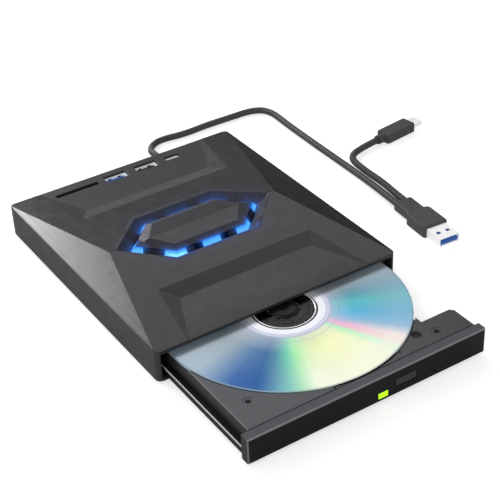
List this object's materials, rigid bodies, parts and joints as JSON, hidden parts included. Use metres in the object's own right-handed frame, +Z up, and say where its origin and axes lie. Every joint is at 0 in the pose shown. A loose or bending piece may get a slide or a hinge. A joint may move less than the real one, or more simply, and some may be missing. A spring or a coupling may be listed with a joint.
{
  "type": "external disc drive",
  "caption": "Slim desktop disc drive with a sliding tray half out, an upward row of rear sockets, a lit hexagonal island and a fixed cable with two plugs.",
  "frame": {"origin": "on the desk, under the middle of the box that case and tray fill with the tray as shown, without the cable", "axes": "+Z up, +Y to the rear, -Y the way the tray slides out, +X to the right of the tray's front"},
  "size_m": [0.2469, 0.2642, 0.0224],
  "materials": {
    "case_plastic": "satin dark grey",
    "base_plastic": "fine matt",
    "foot_rubber": "matt",
    "cord_rubber": "matt",
    "plug_plastic": "fine matt",
    "plated_shell": "bright plate",
    "blue_insulator": "satin",
    "dark_insulator": "satin",
    "light_guide": "clear, lit blue",
    "lamp": "lit green",
    "led_body": "lit",
    "board": "lacquered",
    "sheet_steel": "zinc plated",
    "rail_steel": "bright",
    "motor_shell": "plated",
    "tray_plastic": "fine matt",
    "rail_plastic": "satin",
    "bezel_plastic": "satin black",
    "button_plastic": "satin",
    "hub_plastic": "satin",
    "ribbon": "film",
    "sled_metal": "die cast",
    "holder_plastic": "matt",
    "lens_glass": "coated",
    "disc_plastic": "clear polycarbonate over a mirror layer"
  },
  "bodies": {
    "case": {"top_cover": "case_plastic", "bottom_cover": "base_plastic", "rubber_feet": "foot_rubber", "cable_boot": "cord_rubber", "flex_cable": "ribbon", "case_screws": "rail_steel", "drive_screws": "rail_steel", "island_cap": "case_plastic", "light_ring": "light_guide", "led_board": "board", "ring_leds": "led_body", "hub_board": "board", "board_chips": "dark_insulator", "card_socket": "dark_insulator", "blue_socket_shell": "plated_shell", "blue_socket_tongue": "blue_insulator", "plain_socket_shell": "plated_shell", "plain_socket_tongue": "dark_insulator", "small_socket_shell": "plated_shell", "small_socket_tongue": "dark_insulator", "edge_plug": "dark_insulator", "drive_pan": "sheet_steel", "drive_lid": "sheet_steel", "main_board": "board", "drive_chips": "dark_insulator", "drive_connector": "dark_insulator", "slide_guides": "sheet_steel", "latch_pin": "rail_steel", "host_cable": "cord_rubber", "branch_cable": "cord_rubber", "usb_plug_body": "plug_plastic", "usb_plug_shell": "plated_shell", "usb_plug_tongue": "blue_insulator", "small_plug_body": "plug_plastic", "small_plug_tip": "plated_shell"},
    "slide_rail_left": {"slide_rail_left": "rail_steel"},
    "slide_rail_right": {"slide_rail_right": "rail_steel"},
    "tray": {"tray": "tray_plastic", "tray_rail_left": "rail_plastic", "tray_rail_right": "rail_plastic", "tray_under_plate": "sheet_steel", "traverse_screws": "rail_steel", "bezel": "bezel_plastic", "activity_lamp": "lamp", "front_board": "board", "latch_solenoid": "motor_shell", "traverse_frame": "sheet_steel", "guide_rods": "rail_steel", "spindle_motor": "motor_shell", "stepper_motor": "motor_shell"},
    "eject_button": {"eject_button": "button_plastic"},
    "latch_lever": {"latch_lever": "rail_plastic"},
    "spindle": {"turntable": "hub_plastic", "turntable_pad": "foot_rubber", "hub_claws": "hub_plastic", "disc": "disc_plastic"},
    "pickup": {"pickup_sled": "sled_metal"},
    "lens": {"lens_holder": "holder_plastic", "objective_lens": "lens_glass"},
    "lead_screw": {"lead_screw": "rail_steel"}
  },
  "joints": [
    {"name": "tray_slide", "type": "slide", "parent": "case", "child": "tray", "axis": [0, -1, 0], "range_m": [-0.069, 0.058]},
    {"name": "left_rail_slide", "type": "slide", "parent": "case", "child": "slide_rail_left", "axis": [0, -1, 0], "range_m": [-0.0346, 0.0291]},
    {"name": "right_rail_slide", "type": "slide", "parent": "case", "child": "slide_rail_right", "axis": [0, -1, 0], "range_m": [-0.0346, 0.0291]},
    {"name": "eject_button_push", "type": "slide", "parent": "tray", "child": "eject_button", "axis": [0, 1, 0], "range_m": [0, 0.0006], "stiffness_N_per_m": 800},
    {"name": "latch_turn", "type": "hinge", "parent": "tray", "child": "latch_lever", "pos_m": [0.027, -0.0975, 0.0044], "axis": [0, 0, 1], "range_deg": [0, 25], "stiffness_Nm_per_rad": 0.02},
    {"name": "disc_spin", "type": "hinge", "parent": "tray", "child": "spindle", "pos_m": [0, -0.0447, 0.0125], "axis": [0, 0, 1], "continuous": true},
    {"name": "pickup_travel", "type": "slide", "parent": "tray", "child": "pickup", "axis": [-0.7071, -0.7071, 0], "range_m": [-0.016, 0.016]},
    {"name": "lead_screw_turn", "type": "hinge", "parent": "tray", "child": "lead_screw", "pos_m": [0.00276, -0.0674, 0.0093], "axis": [-0.7071, -0.7071, 0], "range_deg": [-1925, 1925]},
    {"name": "lens_focus", "type": "slide", "parent": "pickup", "child": "lens", "axis": [0, 0, 1], "range_m": [-0.0003, 0.0005], "stiffness_N_per_m": 30}
  ],
  "couplings": [
    {"joint": "left_rail_slide", "follows": "tray_slide", "ratio": 0.5},
    {"joint": "right_rail_slide", "follows": "tray_slide", "ratio": 0.5},
    {"joint": "lead_screw_turn", "follows": "pickup_travel", "rad_per_m": 2094.4}
  ]
}
